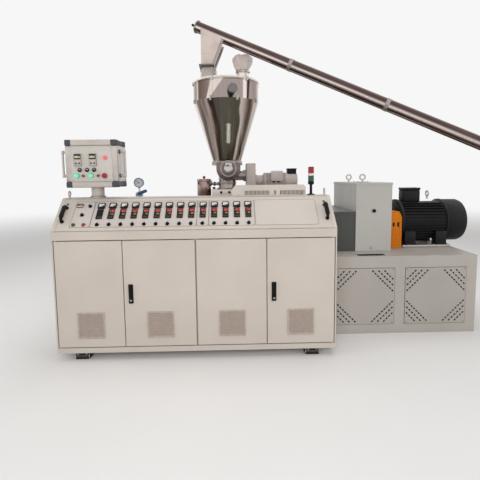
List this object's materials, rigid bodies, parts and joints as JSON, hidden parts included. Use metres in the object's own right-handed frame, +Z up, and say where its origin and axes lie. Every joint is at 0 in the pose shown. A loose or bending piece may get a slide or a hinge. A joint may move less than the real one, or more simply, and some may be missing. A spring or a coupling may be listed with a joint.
{
  "type": "plastic extruder",
  "caption": "Floor-standing twin-screw plastic extruder with a sloped control cabinet, a swivelling operator box, a steel hopper, a screw loader and its drive train.",
  "frame": {"origin": "on the floor, under the middle of the whole machine's outer box", "axes": "+X along the machine from the die end to the motor end, the cabinet's doors face -Y, +Z up"},
  "size_m": [3.76, 1.682, 2.9786],
  "materials": {
    "cabinet_paint": "semi-gloss warm off-white",
    "black_plastic": "matte black",
    "panel_sheet": "smooth pale instrument panel",
    "instrument_plastic": "matte dark grey",
    "meter_white": "white scale behind a clear front",
    "lamp_lens": "glossy coloured lens",
    "profile_aluminium": "satin extruded profile",
    "operator_panel": "semi-gloss pale grey",
    "base_paint": "semi-gloss grey-green",
    "machine_paint": "semi-gloss grey-green enamel",
    "dark_machine_paint": "semi-gloss dark grey-green",
    "guard_paint": "gloss safety orange",
    "motor_paint": "near-black enamel on a casting",
    "tool_steel": "bare machined steel",
    "barrel_steel": "bare steel and heater sheet",
    "stainless": "brushed stainless",
    "polished_stainless": "mirror polished stainless",
    "bag_cloth": "thin translucent cloth"
  },
  "bodies": {
    "machine": {"cabinet_plinth": "cabinet_paint", "cabinet_sides": "cabinet_paint", "cabinet_back": "cabinet_paint", "cabinet_roof": "cabinet_paint", "cabinet_header": "cabinet_paint", "door_posts": "cabinet_paint", "vent_box": "cabinet_paint", "signal_post": "black_plastic", "signal_lamps": "lamp_lens", "operator_post": "profile_aluminium", "machine_base": "base_paint", "base_panels": "base_paint", "lifting_eyes": "cabinet_paint", "gearbox": "machine_paint", "distribution_box": "dark_machine_paint", "coupling_guard": "guard_paint", "main_motor": "motor_paint", "die_flange": "tool_steel", "barrel": "barrel_steel", "barrel_cover": "base_paint", "barrel_fittings": "stainless", "feeder_housing": "stainless", "feeder_drive": "machine_paint", "hopper_shell": "polished_stainless", "hopper_lid": "polished_stainless", "hopper_collars": "polished_stainless", "hopper_fittings": "instrument_plastic", "vent_bag": "bag_cloth", "loader_tube": "stainless", "loader_chute": "stainless"},
    "door_1": {"door_1": "cabinet_paint"},
    "door_2": {"door_2": "cabinet_paint", "door_latch_2": "black_plastic"},
    "door_3": {"door_3": "cabinet_paint"},
    "door_4": {"door_4": "cabinet_paint", "door_latch_4": "black_plastic"},
    "console": {"console_lid": "cabinet_paint", "console_panels": "panel_sheet", "temperature_controllers": "instrument_plastic", "ammeters": "meter_white", "console_switches": "black_plastic", "console_handles": "black_plastic"},
    "operator_station": {"operator_box": "operator_panel", "operator_controls": "instrument_plastic", "operator_handles": "profile_aluminium"}
  },
  "joints": [
    {"name": "door_1_hinge", "type": "hinge", "parent": "machine", "child": "door_1", "pos_m": [-1.855, -0.813, 0.53], "axis": [0, 0, -1], "range_deg": [0, 88]},
    {"name": "door_2_hinge", "type": "hinge", "parent": "machine", "child": "door_2", "pos_m": [-0.794, -0.813, 0.53], "axis": [0, 0, 1], "range_deg": [0, 88]},
    {"name": "door_3_hinge", "type": "hinge", "parent": "machine", "child": "door_3", "pos_m": [-0.766, -0.813, 0.53], "axis": [0, 0, -1], "range_deg": [0, 88]},
    {"name": "door_4_hinge", "type": "hinge", "parent": "machine", "child": "door_4", "pos_m": [0.295, -0.813, 0.53], "axis": [0, 0, 1], "range_deg": [0, 88]},
    {"name": "console_hinge", "type": "hinge", "parent": "machine", "child": "console", "pos_m": [-0.78, -0.58127, 1.25027], "axis": [-1, 0, 0], "range_deg": [0, 50]},
    {"name": "operator_swivel", "type": "hinge", "parent": "machine", "child": "operator_station", "pos_m": [-1.6115, -0.509, 1.357], "axis": [0, 0, 1], "range_deg": [-60, 60]}
  ]
}
